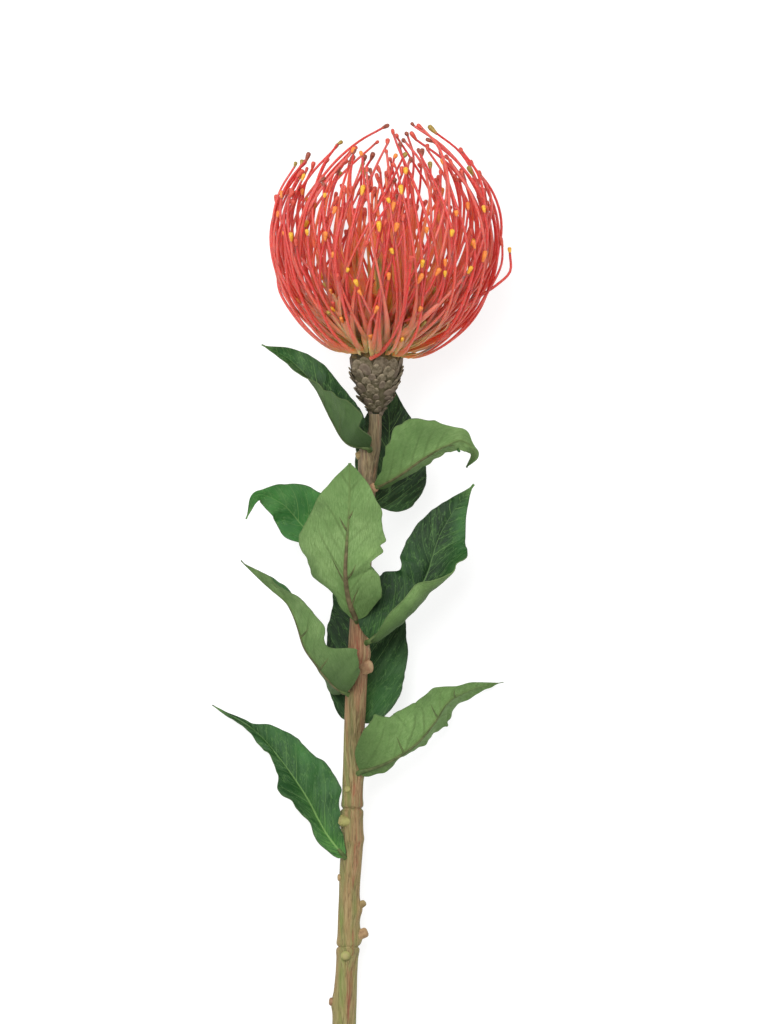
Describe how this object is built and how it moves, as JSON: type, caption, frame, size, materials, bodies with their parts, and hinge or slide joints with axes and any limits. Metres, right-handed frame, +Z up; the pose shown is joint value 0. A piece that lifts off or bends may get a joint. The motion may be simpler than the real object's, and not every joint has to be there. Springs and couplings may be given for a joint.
{
  "type": "pincushion protea flower",
  "caption": "Artificial cut pincushion protea lying on its side: a round head of coral red styles on a scaly cone, a jointed brown stem and curling green leaves",
  "frame": {"origin": "middle of the lying flower's box, on the surface it rests on", "axes": "+Y along the stem towards the head, +Z up from the surface, +X to the right when seen from above with the head away from the viewer"},
  "size_m": [0.1442, 0.4619, 0.1108],
  "materials": {
    "stem_bark": "matte brown, green lower down, with lengthwise fibres",
    "involucre_scales": "matte grey-brown woolly scales",
    "receptacle": "matte, dark between the florets",
    "floret_red": "satin coral red, paler at the foot, with yellow and orange knobs",
    "leaf_green": "dark green above, grey-green woven cloth beneath, with an olive midrib"
  },
  "bodies": {
    "root": {"stem": "stem_bark", "involucre": "involucre_scales", "receptacle_with_inner_florets": "receptacle", "floret_01": "floret_red", "floret_02": "floret_red", "floret_03": "floret_red", "floret_04": "floret_red", "floret_05": "floret_red", "floret_06": "floret_red", "floret_07": "floret_red", "floret_08": "floret_red", "floret_09": "floret_red", "floret_10": "floret_red", "floret_11": "floret_red", "floret_12": "floret_red", "floret_13": "floret_red", "floret_14": "floret_red", "floret_15": "floret_red", "floret_16": "floret_red", "floret_17": "floret_red", "floret_18": "floret_red", "floret_19": "floret_red", "floret_20": "floret_red", "floret_21": "floret_red", "floret_22": "floret_red", "floret_23": "floret_red", "floret_24": "floret_red", "floret_25": "floret_red", "floret_26": "floret_red", "floret_27": "floret_red", "floret_28": "floret_red", "floret_29": "floret_red", "floret_30": "floret_red", "floret_31": "floret_red", "floret_32": "floret_red", "floret_33": "floret_red", "floret_34": "floret_red", "floret_35": "floret_red", "floret_36": "floret_red", "floret_37": "floret_red", "floret_38": "floret_red", "floret_39": "floret_red", "floret_40": "floret_red", "floret_41": "floret_red", "floret_42": "floret_red", "floret_43": "floret_red", "floret_44": "floret_red", "floret_stray": "floret_red", "floret_hook": "floret_red", "leaf_top_left": "leaf_green", "leaf_behind_top": "leaf_green", "leaf_top_right": "leaf_green", "leaf_front": "leaf_green", "leaf_middle_left": "leaf_green", "leaf_middle_right": "leaf_green", "leaf_lower_left": "leaf_green", "leaf_behind_middle": "leaf_green", "leaf_lower_right": "leaf_green", "leaf_bottom_left": "leaf_green"}
  },
  "joints": []
}
